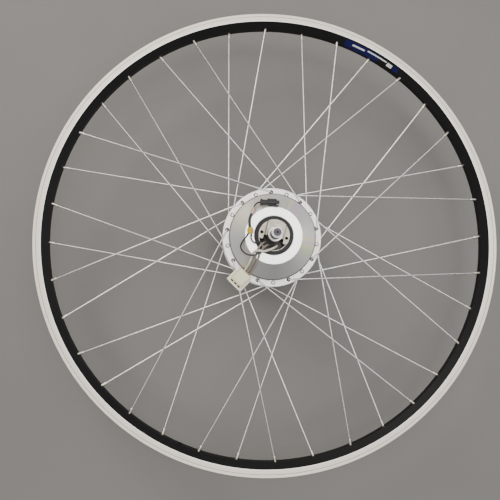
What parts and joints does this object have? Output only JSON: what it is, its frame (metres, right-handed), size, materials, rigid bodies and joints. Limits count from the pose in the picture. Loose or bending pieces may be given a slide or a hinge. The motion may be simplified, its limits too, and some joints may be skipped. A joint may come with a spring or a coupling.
{
  "type": "bicycle hub motor wheel",
  "caption": "Planetary-geared bicycle hub motor laced three-cross into a 622 mm double-wall rim, with phase and signal leads.",
  "frame": {"origin": "on the axle, at the rim's mid-plane, halfway along the axle", "axes": "+Z along the axle towards the cable side; +X and +Y in the plane of the wheel"},
  "size_m": [0.6339, 0.634, 0.1748],
  "materials": {
    "bearing_steel": "polished",
    "board": "solder mask",
    "connector_black": "moulded nylon",
    "connector_cream": "moulded nylon",
    "copper": "enamelled copper",
    "cover_alloy": "turned and lacquered",
    "hub_paint": "silver-white satin paint",
    "insulator": "moulded",
    "lamination": "stacked laminations",
    "magnet": "nickel plated",
    "nipple_brass": "nickel plated brass",
    "nylon": "moulded",
    "rim_alloy": "brushed sidewalls, black anodised inner faces",
    "seal_rubber": "black moulded",
    "spoke_steel": "bright drawn stainless",
    "steel": "ground and plated",
    "tape_yellow": "polyester tape",
    "wire_black": "insulation",
    "wire_brown": "silicone sleeve",
    "wire_cream": "silicone sleeve",
    "wire_grey": "silicone sleeve",
    "wire_red": "insulation",
    "wire_white": "insulation",
    "zinc_steel": "bright zinc"
  },
  "bodies": {
    "axle_assembly": {"axle": "zinc_steel", "axle_spacer": "zinc_steel", "cable_grommet": "seal_rubber", "clutch_inner_sleeve": "bearing_steel", "clutch_outer_ring": "bearing_steel", "clutch_rollers": "bearing_steel", "far_bearing_inner_race": "bearing_steel", "hall_sensors": "connector_black", "near_bearing_inner_race": "bearing_steel", "phase_connector": "connector_cream", "phase_wire_brown": "wire_brown", "phase_wire_cream": "wire_cream", "phase_wire_grey": "wire_grey", "planet_carrier": "steel", "planet_clips": "zinc_steel", "planet_pins": "zinc_steel", "rotor_bearing_inner_races": "bearing_steel", "rotor_spacers": "zinc_steel", "sensor_board": "board", "side_plate": "steel", "signal_connector": "connector_black", "signal_lead_inner": "wire_black", "signal_lead_loop": "wire_black", "signal_sleeve": "wire_black", "signal_tail": "wire_black", "signal_wire_brown": "wire_brown", "signal_wire_red": "wire_red", "signal_wire_white": "wire_white", "splice_tape": "tape_yellow", "stator_core": "lamination", "stator_insulators": "insulator", "stator_windings": "copper"},
    "wheel": {"rim": "rim_alloy", "nipples_near": "nipple_brass", "nipples_far": "nipple_brass", "spokes_near_outer": "spoke_steel", "spokes_near_inner": "spoke_steel", "spokes_far_outer": "spoke_steel", "spokes_far_inner": "spoke_steel", "hub_shell": "hub_paint", "near_cover": "cover_alloy", "cover_o_ring": "seal_rubber", "axle_dust_seal": "seal_rubber", "far_cover": "cover_alloy", "far_cover_screws": "zinc_steel", "ring_gear": "steel", "near_bearing_outer_race": "bearing_steel", "near_bearing_seals": "seal_rubber", "far_bearing_outer_race": "bearing_steel", "far_bearing_seals": "seal_rubber"},
    "rotor": {"rotor_can": "steel", "rotor_magnets": "magnet", "sun_gear": "bearing_steel", "rotor_bearing_outer_races": "bearing_steel"},
    "planet_1": {"planet_gear_1": "nylon"},
    "planet_2": {"planet_gear_2": "nylon"},
    "planet_3": {"planet_gear_3": "nylon"},
    "near_bearing_cage": {"near_bearing_balls_and_cage": "bearing_steel"},
    "far_bearing_cage": {"far_bearing_balls_and_cage": "bearing_steel"},
    "rotor_bearing_cages": {"rotor_bearing_balls_and_cages": "bearing_steel"}
  },
  "joints": [
    {"name": "wheel_spin", "type": "hinge", "parent": "axle_assembly", "child": "wheel", "pos_m": [0, 0, 0], "axis": [0, 0, 1], "continuous": true},
    {"name": "rotor_spin", "type": "hinge", "parent": "axle_assembly", "child": "rotor", "pos_m": [0, 0, 0], "axis": [0, 0, 1], "continuous": true},
    {"name": "planet_1_spin", "type": "hinge", "parent": "axle_assembly", "child": "planet_1", "pos_m": [0.027, 0, 0], "axis": [0, 0, 1], "continuous": true},
    {"name": "planet_2_spin", "type": "hinge", "parent": "axle_assembly", "child": "planet_2", "pos_m": [-0.0135, 0.02338, 0], "axis": [0, 0, 1], "continuous": true},
    {"name": "planet_3_spin", "type": "hinge", "parent": "axle_assembly", "child": "planet_3", "pos_m": [-0.0135, -0.02338, 0], "axis": [0, 0, 1], "continuous": true},
    {"name": "near_bearing_cage_spin", "type": "hinge", "parent": "axle_assembly", "child": "near_bearing_cage", "pos_m": [0, 0, 0], "axis": [0, 0, 1], "continuous": true},
    {"name": "far_bearing_cage_spin", "type": "hinge", "parent": "axle_assembly", "child": "far_bearing_cage", "pos_m": [0, 0, 0], "axis": [0, 0, 1], "continuous": true},
    {"name": "rotor_bearing_cage_spin", "type": "hinge", "parent": "axle_assembly", "child": "rotor_bearing_cages", "pos_m": [0, 0, 0], "axis": [0, 0, 1], "continuous": true}
  ],
  "couplings": [
    {"joint": "rotor_spin", "follows": "wheel_spin", "ratio": -4.4},
    {"joint": "planet_1_spin", "follows": "wheel_spin", "ratio": 2.5882},
    {"joint": "planet_2_spin", "follows": "wheel_spin", "ratio": 2.5882},
    {"joint": "planet_3_spin", "follows": "wheel_spin", "ratio": 2.5882},
    {"joint": "near_bearing_cage_spin", "follows": "wheel_spin", "ratio": 0.54315},
    {"joint": "far_bearing_cage_spin", "follows": "wheel_spin", "ratio": 0.63523},
    {"joint": "rotor_bearing_cage_spin", "follows": "wheel_spin", "ratio": -2.5173}
  ]
}
